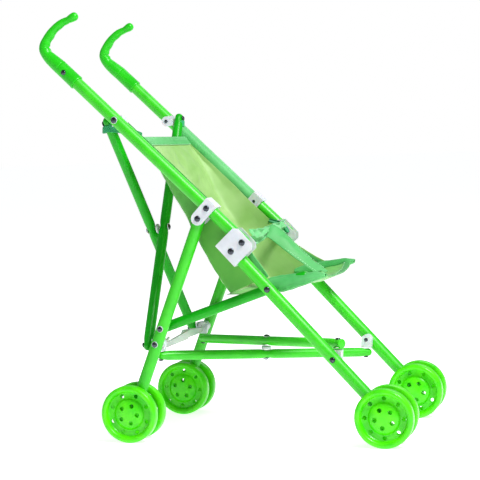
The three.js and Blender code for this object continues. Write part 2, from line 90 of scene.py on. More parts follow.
handle_down = direction(TOP_CROSS_PIVOT, HINGE)
front_leg_down = direction(RAIL_FRONT_PIVOT, FRONT_AXLE)
rear_leg_down = direction(REAR_LEG_PIVOT, REAR_AXLE)
rail_forward = direction(RAIL_REAR_PIVOT, RAIL_FRONT_PIVOT)
back_down = direction(TOP_CROSS_PIVOT, REAR_CROSS_PIVOT)
back_normal = Vector((-back_down.z, 0, back_down.x))
bottom_forward = direction(REAR_CROSS_PIVOT, FRONT_CROSS_PIVOT)
bottom_normal = Vector((-bottom_forward.z, 0, bottom_forward.x))
handle_up_side = Vector((-handle_down.z, 0, handle_down.x))

# ---------- materials ----------


def material(name, low, high, roughness, scale=60.0, bump=0.01, bump_scale=160.0, rough_spread=0.05, **shader):
    """A surface whose colour drifts between two tones, with a fine bump and uneven gloss."""
    made = bpy.data.materials.new(name)
    made.use_nodes = True
    tree = made.node_tree
    link = tree.links.new
    out = tree.nodes["Principled BSDF"]
    place = tree.nodes.new("ShaderNodeTexCoord")
    drift = tree.nodes.new("ShaderNodeTexNoise")
    drift.inputs["Scale"].default_value = scale
    drift.inputs["Detail"].default_value = 4.0
    link(place.outputs["Object"], drift.inputs["Vector"])
    ramp = tree.nodes.new("ShaderNodeValToRGB")
    ramp.color_ramp.elements[0].position = 0.32
    ramp.color_ramp.elements[1].position = 0.68
    ramp.color_ramp.elements[0].color = (*low, 1)
    ramp.color_ramp.elements[1].color = (*high, 1)
    link(drift.outputs["Fac"], ramp.inputs["Fac"])
    link(ramp.outputs["Color"], out.inputs["Base Color"])
    fine = tree.nodes.new("ShaderNodeTexNoise")
    fine.inputs["Scale"].default_value = bump_scale
    fine.inputs["Detail"].default_value = 3.0
    link(place.outputs["Object"], fine.inputs["Vector"])
    gloss = tree.nodes.new("ShaderNodeMapRange")
    gloss.inputs["To Min"].default_value = max(roughness - rough_spread, 0.02)
    gloss.inputs["To Max"].default_value = roughness + rough_spread
    link(drift.outputs["Fac"], gloss.inputs["Value"])
    link(gloss.outputs["Result"], out.inputs["Roughness"])
    relief = tree.nodes.new("ShaderNodeBump")
    relief.inputs["Strength"].default_value = bump
    relief.inputs["Distance"].default_value = 0.0006
    link(fine.outputs["Fac"], relief.inputs["Height"])
    link(relief.outputs["Normal"], out.inputs["Normal"])
    for key, value in shader.items():
        out.inputs[key.replace("_", " ")].default_value = value
    return made


def cloth_material(name, low, high, alpha, weave=1500.0, crease=0.35):
    """Thin woven nylon: a fine weave, soft creases, a little sheen, and some light through it."""
    made = material(name, low, high, 0.5, scale=14.0, bump=crease, bump_scale=45.0, rough_spread=0.06,
                    Alpha=alpha, Sheen_Weight=0.35, Sheen_Roughness=0.4, Specular_IOR_Level=0.4)
    tree = made.node_tree
    link = tree.links.new
    out = tree.nodes["Principled BSDF"]
    place = tree.nodes["Texture Coordinate"]
    first = out.inputs["Normal"].links[0].from_node
    threads = None
    for axis in ("X", "Z"):
        wave = tree.nodes.new("ShaderNodeTexWave")
        wave.bands_direction = axis
        wave.inputs["Scale"].default_value = weave / 6.283
        wave.inputs["Distortion"].default_value = 0.4
        link(place.outputs["Object"], wave.inputs["Vector"])
        if threads is None:
            threads = wave
        else:
            both = tree.nodes.new("ShaderNodeMath")
            both.operation = "MAXIMUM"
            link(threads.outputs["Fac"], both.inputs[0])
            link(wave.outputs["Fac"], both.inputs[1])
            relief = tree.nodes.new("ShaderNodeBump")
            relief.inputs["Strength"].default_value = 0.12
            relief.inputs["Distance"].default_value = 0.0002
            link(both.outputs["Value"], relief.inputs["Height"])
            link(first.outputs["Normal"], relief.inputs["Normal"])
            link(relief.outputs["Normal"], out.inputs["Normal"])
    return made


ENAMEL = material("green_enamel", (0.022, 0.50, 0.001), (0.034, 0.58, 0.002), 0.42, bump=0.002,
                  Specular_IOR_Level=0.5, Coat_Weight=0.12, Coat_Roughness=0.16)
# A darker copy of the green enamel for the seat rails and back cross tubes: painted shade, for tubes that sit in
# shade.
SHADED_ENAMEL = material("shaded_green_enamel", (0.001, 0.32, 0.002), (0.003, 0.39, 0.004), 0.36, bump=0.002,
                       Specular_IOR_Level=0.25, Coat_Weight=0.12, Coat_Roughness=0.18)
GRIP = material("green_grip_plastic", (0.008, 0.46, 0.002), (0.016, 0.54, 0.005), 0.38, bump=0.006, bump_scale=90.0,
                Specular_IOR_Level=0.3, Coat_Weight=0.12, Coat_Roughness=0.2)
WHEEL = material("lime_wheel_plastic", (0.042, 0.62, 0.001), (0.095, 0.76, 0.002), 0.34, bump=0.006, bump_scale=120.0,
                 Specular_IOR_Level=0.3, Coat_Weight=0.2, Coat_Roughness=0.15)
WHITE = material("white_nylon_clip", (0.56, 0.59, 0.63), (0.67, 0.70, 0.74), 0.4, bump=0.02, bump_scale=120.0,
                 Subsurface_Weight=0.15, Subsurface_Scale=0.004)
CLEAR_WHITE = material("milky_strip_plastic", (0.46, 0.56, 0.50), (0.60, 0.68, 0.63), 0.32, bump=0.02,
                       Alpha=0.78, Subsurface_Weight=0.15, Subsurface_Scale=0.004)
STEEL = material("dull_rivet_steel", (0.03, 0.035, 0.045), (0.10, 0.11, 0.13), 0.24, scale=400.0, bump=0.03,
                 Metallic=1.0)
CLOTH = cloth_material("mint_nylon", (0.24, 0.50, 0.10), (0.44, 0.68, 0.26), 0.86, crease=0.8)
# A darker copy of the mint nylon for the right side of the bucket: painted shade.
SHADED_CLOTH = cloth_material("mint_nylon_shaded_side", (0.04, 0.32, 0.02), (0.12, 0.46, 0.05), 0.86, crease=0.8)
BASE_CLOTH = cloth_material("mint_nylon_base", (0.14, 0.50, 0.10), (0.30, 0.66, 0.20), 0.88, crease=0.8)
HEM = cloth_material("mint_hem", (0.05, 0.44, 0.09), (0.15, 0.60, 0.20), 0.8, crease=0.6)
BELT = cloth_material("bunched_belt", (0.06, 0.52, 0.12), (0.20, 0.68, 0.26), 0.93, crease=0.6)
TEAL = cloth_material("teal_loop", (0.008, 0.27, 0.08), (0.02, 0.38, 0.14), 0.88, crease=0.5)
THREAD = material("light_thread", (0.42, 0.84, 0.48), (0.52, 0.90, 0.58), 0.6)

# ---------- mesh makers ----------


def piece(name, verts, faces, finish, body, smooth=True, replaces=()):
    mesh = bpy.data.meshes.new(name)
    mesh.from_pydata([tuple(v) for v in verts], [], faces)
    mesh.validate()
    mesh.materials.append(finish)
    work = bmesh.new()
    work.from_mesh(mesh)
    bmesh.ops.recalc_face_normals(work, faces=work.faces)
    work.to_mesh(mesh)
    work.free()
    made = bpy.data.objects.new(name, mesh)
    bpy.context.scene.collection.objects.link(made)
    if smooth:
        mesh.polygons.foreach_set("use_smooth", [True] * len(mesh.polygons))
    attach(made, body)
    if replaces:
        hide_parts(*replaces)
    return made


def sharp_edges(made, degrees=40):
    made.data.set_sharp_from_angle(angle=math.radians(degrees))


def across(axis):
    """Two directions square to an axis and to each other."""
    helper = Vector((0, 1, 0)) if abs(axis.y) < 0.9 else Vector((1, 0, 0))
    first = axis.cross(helper).normalized()
    return first, axis.cross(first).normalized()


def rings_to_faces(count, sides, closed_start=True, closed_end=True):
    faces = []
    for k in range(count - 1):
        for i in range(sides):
            j = (i + 1) % sides
            faces.append((k * sides + i, k * sides + j, (k + 1) * sides + j, (k + 1) * sides + i))
    if closed_start:
        faces.append(tuple(reversed(range(sides))))
    if closed_end:
        faces.append(tuple((count - 1) * sides + i for i in range(sides)))
    return faces


def tube(name, body, start, end, radius, finish, replaces, pinches=(), caps=("round", "round"), sides=32):
    """A round tube. Each pinch is (distance along, direction, depth, width): the tube is flattened there."""
    axis = (end - start).normalized()
    length = (end - start).length
    radius /= 1000
    first, second = across(axis)
    stations = {0.0, length}
    for k in range(1, 24):
        stations.add(length * k / 24)
    for distance, _, _, width in pinches:
        for k in range(-6, 7):
            stations.add(distance + k * width / 4)
    stations = sorted(s for s in stations if 0 <= s <= length)
    profile = []
    steps = 6
    for k in range(steps):
        angle = k / steps * math.pi / 2
        cap = radius if caps[0] == "round" else 0.0006
        drop = math.sin(angle) if caps[0] == "round" else 1 - (1 - k / steps) * 0.08
        profile.append((cap * (1 - math.cos(angle)), max(drop, 0.02)))
    profile = [(s, r) for s, r in profile if s < stations[-1]]
    cap_start = radius if caps[0] == "round" else 0.0006
    cap_end = radius if caps[1] == "round" else 0.0006
    profile += [(s, 1.0) for s in stations if cap_start <= s <= length - cap_end]
    for k in range(steps - 1, -1, -1):
        angle = k / steps * math.pi / 2
        drop = math.sin(angle) if caps[1] == "round" else 1 - (1 - k / steps) * 0.08
        profile.append((length - cap_end * (1 - math.cos(angle)), max(drop, 0.02)))
    verts = []
    for s, r in profile:
        for i in range(sides):
            angle = 2 * math.pi * i / sides
            offset = (first * math.cos(angle) + second * math.sin(angle)) * radius * r
            for distance, way, depth, width in pinches:
                amount = depth * math.exp(-(((s - distance) / width) ** 2))
                along = offset.dot(way)
                offset = offset - way * along * amount
            verts.append(start + axis * s + offset)
    return piece(name, verts, rings_to_faces(len(profile), sides), finish, body, replaces=replaces)


def lathe(name, body, origin, axis, profile, finish, sides=32, closed=False, replaces=()):
    """Turns [radius, height] pairs, in millimetres, about an axis. A closed profile is a ring."""
    first, second = across(axis)
    verts = []
    for r, h in profile:
        r = max(r, 0.02)
        for i in range(sides):
            angle = 2 * math.pi * i / sides
            verts.append(origin + (axis * h + (first * math.cos(angle) + second * math.sin(angle)) * r) / 1000)
    count = len(profile)
    faces = rings_to_faces(count, sides, not closed, not closed)
    if closed:
        for i in range(sides):
            j = (i + 1) % sides
            faces.append(((count - 1) * sides + i, (count - 1) * sides + j, j, i))
    made = piece(name, verts, faces, finish, body, replaces=replaces)
    sharp_edges(made, 50)
    return made


def dome(radius, height, steps=6):
    return [(radius * math.cos(k / steps * math.pi / 2), height * math.sin(k / steps * math.pi / 2))
            for k in range(steps + 1)]


def rivet(name, body, origin, axis, radius=4.0, height=2.2, washer=0.0, shank=0.0, replaces=()):
    """A domed rivet head on a surface, with an optional white washer under it and a shank behind it."""
    base = 0.0
    if washer:
        ring = [(radius * 0.5, 0), (washer, 0), (washer, 0.5), (washer - 0.4, 0.9), (radius * 0.5, 0.9)]
        lathe(name + "_washer", body, origin, axis, ring, WHITE, sides=28)
        base = 0.8
    profile = [(radius * 0.5, -shank), (radius * 0.5, base), (radius, base), (radius, base + 0.35)]
    profile += [(r, base + 0.35 + h) for r, h in dome(radius, height)]
    return lathe(name, body, origin, axis, profile, STEEL, sides=24, replaces=replaces)


ACROSS = Vector((0, 1, 0))

# ---------- side frames ----------

hinge_reach = Vector((HINGE[0] - RAIL_FRONT_PIVOT[0], 0, HINGE[1] - RAIL_FRONT_PIVOT[1])).dot(front_leg_down)
hinge_foot = moved(RAIL_FRONT_PIVOT, front_leg_down, hinge_reach)
block_leg_rivet = moved(hinge_foot, front_leg_down, -2)
bracket_rivet = moved(REAR_LEG_PIVOT, handle_up_side, BRACKET_REACH)
handle_top = moved(HINGE, handle_down, -HANDLE_TUBE_LENGTH)

for label, side in SIDES:
    y = side * SIDE_Y
    out = ACROSS * side

    handle_end = moved(HINGE, handle_down, 8)
    length_to = lambda p: (at(p, y) - at(handle_top, y)).length
    tube(label + "_handle_tube_skin", label + "_handle", at(handle_top, y), at(handle_end, y),
         HANDLE_TUBE_R, ENAMEL, [label + "_handle_tube"],
         pinches=[(length_to(TOP_CROSS_PIVOT), ACROSS, 0.07, 0.006)])
    leg_top = moved(hinge_foot, front_leg_down, -22)
    leg_end = moved(FRONT_AXLE, front_leg_down, 8)
    to_leg = lambda p: (at(p, y) - at(leg_top, y)).length
    tube(label + "_front_leg_skin", label + "_front_leg_frame", at(leg_top, y), at(leg_end, y),
         HANDLE_TUBE_R, ENAMEL, [label + "_front_leg"],
         pinches=[(to_leg(RAIL_FRONT_PIVOT), ACROSS, 0.06, 0.006), (to_leg(FRONT_CROSS_PIVOT), ACROSS, 0.06, 0.006)],
         caps=("round", "flat"))
    rear_top = moved(REAR_LEG_PIVOT, rear_leg_down, -REAR_LEG_R)
    rear_end = moved(REAR_AXLE, rear_leg_down, 8)
    to_rear = lambda p: (at(p, y) - at(rear_top, y)).length
    tube(label + "_rear_leg_skin", label + "_rear_leg_frame", at(rear_top, y), at(rear_end, y),
         REAR_LEG_R, ENAMEL, [label + "_rear_leg"],
         pinches=[(to_rear(RAIL_REAR_PIVOT), ACROSS, 0.06, 0.005), (to_rear(REAR_CROSS_PIVOT), ACROSS, 0.06, 0.005)],
         caps=("round", "flat"))
    rail_y = side * (SIDE_Y - RAIL_INSET)
    rail_rear = moved(RAIL_REAR_PIVOT, rail_forward, -RAIL_R)
    rail_end = moved(RAIL_REAR_PIVOT, rail_forward, 204.6)
    # The seat rails are in the darker enamel, as painted shade.
    tube(label + "_seat_rail_skin", label + "_rail", at(rail_rear, rail_y), at(rail_end, rail_y), RAIL_R, SHADED_ENAMEL,
         [label + "_seat_rail"], pinches=[(RAIL_R / 1000, ACROSS, 0.12, 0.008)])

    face = y + side * 10.2
    rivet(label + "_leg_clip_rivet", label + "_handle", at(REAR_LEG_PIVOT, face), out, 3.9, 1.9, shank=20,
          replaces=[label + "_rear_leg_rivet"])
    rivet(label + "_bracket_clip_rivet", label + "_handle", at(bracket_rivet, face), out, 3.9, 1.9, shank=20,
          replaces=[label + "_bracket_rivet"])
    face = y + side * 9.8
    rivet(label + "_hinge_upper_rivet", label + "_front_leg_frame", at(HINGE, face), out, 4.1, 2.0, shank=19,
          replaces=[label + "_hinge_rivet"])
    rivet(label + "_hinge_lower_rivet", label + "_front_leg_frame", at(block_leg_rivet, face), out, 4.1, 2.0,
          shank=19, replaces=[label + "_hinge_block_rivet"])
    rivet(label + "_rail_head_rivet", label + "_front_leg_frame", at(RAIL_FRONT_PIVOT, y + side * 7.6), out, 3.9, 1.9,
          shank=28, replaces=[label + "_rail_rivet"])
    rivet(label + "_top_rivet", label + "_handle", at(TOP_CROSS_PIVOT, y + side * 7.2), out, 4.0, 1.9, washer=4.5)
    rivet(label + "_rail_rear_rivet", label + "_rear_leg_frame", at(RAIL_REAR_PIVOT, y + side * 7.0), out, 3.6, 1.7,
          washer=4.1)
    rivet(label + "_rear_cross_rivet", label + "_rear_leg_frame", at(REAR_CROSS_PIVOT, y + side * 7.0), out, 3.6, 1.7,
          washer=4.1)
    rivet(label + "_front_cross_rivet", label + "_front_leg_frame", at(FRONT_CROSS_PIVOT, y + side * 7.4), out, 3.6,
          1.7)

# ---------- grips ----------

GRIP_LINE = [(-250.5, 486.8), (-257.8, 493.0), (-266.5, 501.0), (-272.5, 509.5), (-273.0, 516.5), (-269.5, 523.7),
             (-262.5, 533.2), (-251.0, 543.0), (-239.5, 548.0), (-231.0, 552.0)]
GRIP_RADII = [9.4, 9.0, 8.0, 7.2, 6.7, 6.3, 5.8, 5.2, 4.6, 4.3]


def smooth_line(points, count):
    """A Catmull-Rom curve through the points, as `count` points."""
    ends = [points[0] * 2 - points[1]] + list(points) + [points[-1] * 2 - points[-2]]
    made = []
    for k in range(count):
        t = k / (count - 1) * (len(points) - 1)
        i = min(int(t), len(points) - 2)
        f = t - i
        a, b, c, d = ends[i:i + 4]
        made.append(0.5 * ((2 * b) + (c - a) * f + (2 * a - 5 * b + 4 * c - d) * f ** 2
                           + (3 * b - a - 3 * c + d) * f ** 3))
    return made


def sweep(points, radii, sides, bulge=None):
    """Rings round a line. bulge(k, cosine) scales a ring's radius on its inner side."""
    verts = []
    for k, point in enumerate(points):
        ahead = points[min(k + 1, len(points) - 1)] - points[max(k - 1, 0)]
        axis = ahead.normalized()
        second = Vector((0, 1, 0)) - axis * axis.y
        second.normalize()
        first = second.cross(axis)
        for i in range(sides):
            angle = 2 * math.pi * i / sides
            scale = bulge(k, math.cos(angle)) if bulge else 1.0
            verts.append(point + (first * math.cos(angle) + second * math.sin(angle)) * radii[k] * scale)
    return verts


def grip(label, side):
    y = side * SIDE_Y
    count = 70
    line = [Vector((x, y - side * 6 * k / 9, z)) for k, (x, z) in enumerate(GRIP_LINE)]
    points = smooth_line(line, count)
    radii = []
    for k in range(count):
        t = k / (count - 1) * 9
        i = min(int(t), 8)
        radii.append(GRIP_RADII[i] * (1 - t + i) + GRIP_RADII[i + 1] * (t - i))
    # The hook's end swells into a ball.
    for k in range(count - 9, count):
        f = (k - (count - 9)) / 8
        radii[k] = 4.4 + 1.3 * math.sin(f * math.pi * 0.55)
    last = points[-1]
    way = (points[-1] - points[-2]).normalized()
    for k in range(1, 7):
        angle = k / 6 * math.pi / 2
        points.append(last + way * 5.0 * math.sin(angle))
        radii.append(max(5.6 * math.cos(angle), 0.05))

    def waves(k, cosine):
        inside = max(cosine, 0.0)
        return 1 + 0.09 * inside * math.sin(k * 0.62) * (1 if 14 < k < 58 else 0)

    verts = [metres(*v) for v in sweep(points, radii, 28, waves)]
    faces = rings_to_faces(len(points), 28)
    piece(label + "_grip_hook", verts, faces, GRIP, label + "_handle", replaces=[label + "_grip"])
    top = at(moved(handle_top, handle_down, -9), y)
    profile = [(3.0, 0.6), (7.6, 1.2), (9.0, 3.0), (9.4, 6.0), (9.5, 31.0), (9.8, 31.6), (9.8, 33.4), (9.5, 34.0),
               (8.2, 34.0), (8.2, 22.0), (3.0, 22.0)]
    lathe(label + "_grip_socket", label + "_handle", top, handle_down, profile, GRIP, sides=40, closed=True)
    rivet(label + "_grip_rivet", label + "_handle", at(moved(handle_top, handle_down, 5), y + side * 9.1),
          ACROSS * side, 3.4, 1.6)


for label, side in SIDES:
    grip(label, side)

# ---------- wheels ----------


def wheel_mesh():
    """One dished disc: a broad rounded rim, a web with eight holes and a dome with five. Axis +Y is outward."""
    rim = [(3.3, 7.0), (3.3, 0.0), (8.6, 0.0), (9.0, 5.4), (27.6, 5.4), (29.8, 1.4), (31.0, 0.6), (34.6, 0.6),
           (36.4, 1.2), (37.0, 2.6), (37.0, 11.4), (36.4, 13.4), (35.0, 14.8), (33.0, 15.4), (31.2, 14.9),
           (29.9, 13.6), (29.2, 11.4), (28.9, 8.6), (28.0, 7.7), (21.2, 7.5), (20.2, 7.9), (19.3, 9.2),
           (17.6, 10.6), (14.5, 11.7), (9.0, 12.5), (4.0, 12.8), (0.02, 12.9), (0.02, 7.0)]
    sides = 96
    mesh = bpy.data.meshes.new("wheel_disc")
    verts = []
    for r, h in rim:
        for i in range(sides):
            angle = 2 * math.pi * i / sides
            verts.append((r * math.cos(angle) / 1000, h / 1000, r * math.sin(angle) / 1000))
    faces = rings_to_faces(len(rim), sides, False, False)
    count = len(rim)
    for i in range(sides):
        j = (i + 1) % sides
        faces.append(((count - 1) * sides + i, (count - 1) * sides + j, j, i))
    mesh.from_pydata(verts, [], faces)
    work = bmesh.new()
    work.from_mesh(mesh)
    bmesh.ops.remove_doubles(work, verts=work.verts, dist=2e-5)
    bmesh.ops.recalc_face_normals(work, faces=work.faces)
    work.to_mesh(mesh)
    work.free()
    disc = bpy.data.objects.new("wheel_disc", mesh)
    bpy.context.scene.collection.objects.link(disc)
    cutter_verts, cutter_faces = [], []
    for number, ring, radius, turn in ((8, 24.8, 2.8, 0.2), (5, 11.6, 3.0, 0.5)):
        for k in range(number):
            angle = 2 * math.pi * (k + turn) / number
            centre = Vector((math.cos(angle) * ring, 0, math.sin(angle) * ring))
            base = len(cutter_verts)
            low, high = (4.0, 17.0) if ring > 20 else (4.6, 17.0)
            for h in (low, high):
                for i in range(20):
                    a = 2 * math.pi * i / 20
                    point = centre + Vector((math.cos(a) * radius, h, math.sin(a) * radius))
                    cutter_verts.append(tuple(point / 1000))
            for i in range(20):
                j = (i + 1) % 20
                cutter_faces.append((base + i, base + j, base + 20 + j, base + 20 + i))
            cutter_faces.append(tuple(base + i for i in reversed(range(20))))
            cutter_faces.append(tuple(base + 20 + i for i in range(20)))
    cutter_mesh = bpy.data.meshes.new("holes")
    cutter_mesh.from_pydata(cutter_verts, [], cutter_faces)
    work = bmesh.new()
    work.from_mesh(cutter_mesh)
    bmesh.ops.recalc_face_normals(work, faces=work.faces)
    work.to_mesh(cutter_mesh)
    work.free()
    cutter = bpy.data.objects.new("holes", cutter_mesh)
    bpy.context.scene.collection.objects.link(cutter)
    cut = disc.modifiers.new("holes", "BOOLEAN")
    cut.object = cutter
    cut.operation = "DIFFERENCE"
    cut.solver = "EXACT"
    bpy.context.view_layer.update()
    deps = bpy.context.evaluated_depsgraph_get()
    made = bpy.data.meshes.new_from_object(disc.evaluated_get(deps))
    for extra in (disc, cutter):
        bpy.data.objects.remove(extra)
    made.materials.clear()
    made.materials.append(WHEEL)
    made.polygons.foreach_set("use_smooth", [True] * len(made.polygons))
    made.set_sharp_from_angle(angle=math.radians(35))
    return made


WHEEL_MESH = wheel_mesh()
for label, side in SIDES:
    for corner, axle, turn in (("front", FRONT_AXLE, 0.15), ("rear", REAR_AXLE, 0.55)):
        body = f"{label}_{corner}_wheels"
        for place, outward in (("outer", side), ("inner", -side)):
            mesh = WHEEL_MESH.copy()
            centre = at(axle, side * SIDE_Y + outward * 8.5)
            spin = Matrix.Rotation(turn + (0.3 if place == "inner" else 0), 4, "Y")
            flip = Matrix.Identity(4) if outward > 0 else Matrix.Rotation(math.pi, 4, "X")
            mesh.transform(Matrix.Translation(centre) @ flip @ spin)
            made = bpy.data.objects.new(f"{label}_{corner}_{place}_disc", mesh)
            bpy.context.scene.collection.objects.link(made)
            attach(made, body)
            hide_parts(f"{label}_{corner}_{place}_wheel")
        pin = lathe(f"{label}_{corner}_shaft", body, at(axle, side * SIDE_Y), ACROSS,
                    [(2.4, -15.5), (3.0, -14.9), (3.0, 14.9), (2.4, 15.5)], STEEL, sides=24)
        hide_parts(f"{label}_{corner}_axle")

# ---------- cross tubes ----------


def cross_tube(name, body, node_name, start, end, radius, finish, past, pinch_ways, caps):
    axis = (end - start).normalized()
    a = start - axis * past[0] / 1000
    b = end + axis * past[1] / 1000
    length = (b - a).length
    marks = (past[0] / 1000, length / 2, length - past[1] / 1000)
    pinches = [(m, way, depth, 0.006) for m, (way, depth) in zip(marks, pinch_ways)]
    return tube(name, body, a, b, radius, finish, [node_name], pinches=pinches, caps=caps)


def back_at(pivot, y, distance):
    return at(moved(pivot, back_normal, distance), y)


def bottom_at(pivot, y, distance):
    return at(moved(pivot, bottom_normal, distance), y)


# The back cross tubes are in the darker enamel, as painted shade.
cross_tube("back_tube_skin_rear", "rear_back_tube", "back_cross_tube_rear",
           back_at(TOP_CROSS_PIVOT, -BACK_CROSS_Y, -CROSS_OFFSET),
           back_at(REAR_CROSS_PIVOT, BACK_CROSS_Y, -CROSS_OFFSET),
           BACK_CROSS_R, SHADED_ENAMEL, (8, 8), [(back_normal, 0.22)] * 3, ("round", "round"))
cross_tube("back_tube_skin_front", "front_back_tube", "back_cross_tube_front",
           back_at(TOP_CROSS_PIVOT, BACK_CROSS_Y, CROSS_OFFSET),
           back_at(REAR_CROSS_PIVOT, -BACK_CROSS_Y, -CROSS_OFFSET),
           BACK_CROSS_R, SHADED_ENAMEL, (8, 8), [(back_normal, 0.22)] * 3, ("round", "round"))
cross_tube("bottom_tube_skin_low", "low_bottom_tube", "bottom_cross_tube_low",
           bottom_at(REAR_CROSS_PIVOT, -BOTTOM_CROSS_Y, -CROSS_OFFSET),
           bottom_at(FRONT_CROSS_PIVOT, BOTTOM_CROSS_Y, -CROSS_OFFSET),
           BOTTOM_CROSS_R, ENAMEL, (5, 8), [(bottom_normal, 0.2)] * 3, ("round", "round"))
cross_tube("bottom_tube_skin_high", "high_bottom_tube", "bottom_cross_tube_high",
           bottom_at(REAR_CROSS_PIVOT, BOTTOM_CROSS_Y, -CROSS_OFFSET),
           bottom_at(FRONT_CROSS_PIVOT, -BOTTOM_CROSS_Y, CROSS_OFFSET),
           BOTTOM_CROSS_R, ENAMEL, (5, 8), [(bottom_normal, 0.2)] * 3, ("round", "flat"))


def crossing(name, body, middle, normal, radius, node_name):
    """A rivet through two crossed tubes, with a white spacer between them."""
    low = -CROSS_OFFSET - radius + 1.2
    high = radius - 0.6
    rivet(name + "_rear_head", body, middle + normal * low / 1000, -normal, 3.8, 1.7, washer=4.8)
    rivet(name + "_front_head", body, middle + normal * high / 1000, normal, 3.8, 1.7, washer=4.8)
    foot = radius - CROSS_OFFSET
    ring = [(1.9, foot + 0.3), (6.2, foot + 0.3), (6.5, foot + 0.8),
            (6.5, -radius - 1.3), (6.2, -radius - 0.9), (1.9, -radius - 0.9)]
    spacer = lathe(name + "_spacer", body, middle, normal, ring, WHITE, sides=32)
    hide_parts(node_name)


back_middle = at(((TOP_CROSS_PIVOT[0] + REAR_CROSS_PIVOT[0]) / 2, (TOP_CROSS_PIVOT[1] + REAR_CROSS_PIVOT[1]) / 2), 0)
bottom_middle = at(((REAR_CROSS_PIVOT[0] + FRONT_CROSS_PIVOT[0]) / 2,
                    (REAR_CROSS_PIVOT[1] + FRONT_CROSS_PIVOT[1]) / 2), 0)
crossing("back_crossing", "crossing", back_middle, back_normal, BACK_CROSS_R, "back_crossing_pin")
crossing("bottom_crossing", "low_bottom_tube", bottom_middle, bottom_normal, BOTTOM_CROSS_R,
         "bottom_crossing_pin")

# Rivet heads on the inner faces of the swivel connectors.
INNER_HEADS = (("top", "top_swivel", TOP_CROSS_PIVOT, 84.8), ("front", "front_swivel", FRONT_CROSS_PIVOT, 83.4),
               ("foot", "rear_foot_swivel", REAR_CROSS_PIVOT, 83.4))
for label, side in SIDES:
    for name, body, pivot, face in INNER_HEADS:
        rivet(f"{label}_{name}_inner_rivet", f"{label}_{body}", at(pivot, side * face), -ACROSS * side, 2.6, 1.3)

# Rivets that hold the cross tubes' ends to their swivel connectors.
for name, body, place, way in (
        ("back_rear_top", "rear_back_tube", back_at(TOP_CROSS_PIVOT, -BACK_CROSS_Y, -CROSS_OFFSET - 6), -back_normal),
        ("back_rear_foot", "rear_back_tube", back_at(REAR_CROSS_PIVOT, BACK_CROSS_Y, -CROSS_OFFSET - 6),
         -back_normal),
        ("back_front_top", "front_back_tube", back_at(TOP_CROSS_PIVOT, BACK_CROSS_Y, CROSS_OFFSET + 6), back_normal),
        ("back_front_foot", "front_back_tube", back_at(REAR_CROSS_PIVOT, -BACK_CROSS_Y, -CROSS_OFFSET - 6),
         -back_normal),
        ("bottom_low_rear", "low_bottom_tube", bottom_at(REAR_CROSS_PIVOT, -BOTTOM_CROSS_Y, -CROSS_OFFSET - 5.4),
         -bottom_normal),
        ("bottom_low_front", "low_bottom_tube", bottom_at(FRONT_CROSS_PIVOT, BOTTOM_CROSS_Y, -CROSS_OFFSET - 5.4),
         -bottom_normal),
        ("bottom_high_rear", "high_bottom_tube", bottom_at(REAR_CROSS_PIVOT, BOTTOM_CROSS_Y, -CROSS_OFFSET - 5.4),
         -bottom_normal),
        ("bottom_high_front", "high_bottom_tube", bottom_at(FRONT_CROSS_PIVOT, -BOTTOM_CROSS_Y, CROSS_OFFSET + 5.4),
         bottom_normal)):
    rivet(name + "_rivet", body, place, way, 3.4, 1.6)

# ---------- white plastic pieces that keep their CAD shape ----------

for name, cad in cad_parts.items():
    if not any(word in name for word in ("bracket", "block", "connector", "brace")):
        continue
    if "rivet" in name:
        continue
    cad.data.materials.clear()
    cad.data.materials.append(CLEAR_WHITE if "brace" in name else WHITE)
    for polygon in cad.data.polygons:
        polygon.use_smooth = True
    bevel = cad.modifiers.new("soft_edges", "BEVEL")
    bevel.width = 0.0006
    bevel.segments = 2
    bevel.limit_method = "ANGLE"
    bevel.angle_limit = math.radians(40)
    bevel.harden_normals = True

# ---------- cloth ----------


def sheet_piece(name, body, rows, finish, thickness=0.7, replaces=()):
    """A sheet from rows of points, in millimetres, given a thickness and one subdivision."""
    verts = [metres(*p) for row in rows for p in row]
    wide = len(rows[0])
    faces = [(k * wide + i, k * wide + i + 1, (k + 1) * wide + i + 1, (k + 1) * wide + i)
             for k in range(len(rows) - 1) for i in range(wide - 1)]
    made = piece(name, verts, faces, finish, body, replaces=replaces)
    thick = made.modifiers.new("thickness", "SOLIDIFY")
    thick.thickness = thickness / 1000
    thick.offset = 0.0
    smooth = made.modifiers.new("smooth", "SUBSURF")
    smooth.levels = 1
    smooth.render_levels = 1
    return made


def mix(table, t):
    """Linear values between the rows of a table of (t, value...)."""
    for a, b in zip(table, table[1:]):
        if t <= b[0]:
            f = (t - a[0]) / (b[0] - a[0])
            return [p + (q - p) * f for p, q in zip(a[1:], b[1:])]
    return list(table[-1][1:])


def wrinkle(x, y, z, size, seed):
    return noise.noise(Vector((x / size + seed, y / size, z / size)))


def beside_tube(s, y, n=0.0):
    """A point s along a handle tube from the top crossing, n in front of its axis, at that y."""
    x, z = moved(moved(TOP_CROSS_PIVOT, handle_down, s), handle_up_side, n)
    return x, y, z


# An axis, an anchor on the right side and a share to keep, for flattening the cloth across as the frame folds;
# nothing here flattens the cloth with it.
ACROSS_SQUASH = dict(axis=(0, 1, 0), anchor=tuple(at(HINGE, -98)), keep=0.35)

# The back's middle line and the line where its sides leave the handle tubes, as x and z.
BACK_TABLE = [
    (0.00, -151, 393, -155.5, 392),
    (0.25, -123, 343, -113.0, 352),
    (0.50, -93, 285, -67.0, 307.5),
    (0.70, -71, 240, -26.0, 268),
    (0.80, -60, 218, -3.0, 240),
    (0.90, -50, 199, 9.0, 223),
    (1.00, -42, 187, 17.0, 211),
]


BACK_HALF_WIDTH = 89
CORNER = 0.72            # the share of the half width where the back becomes the side


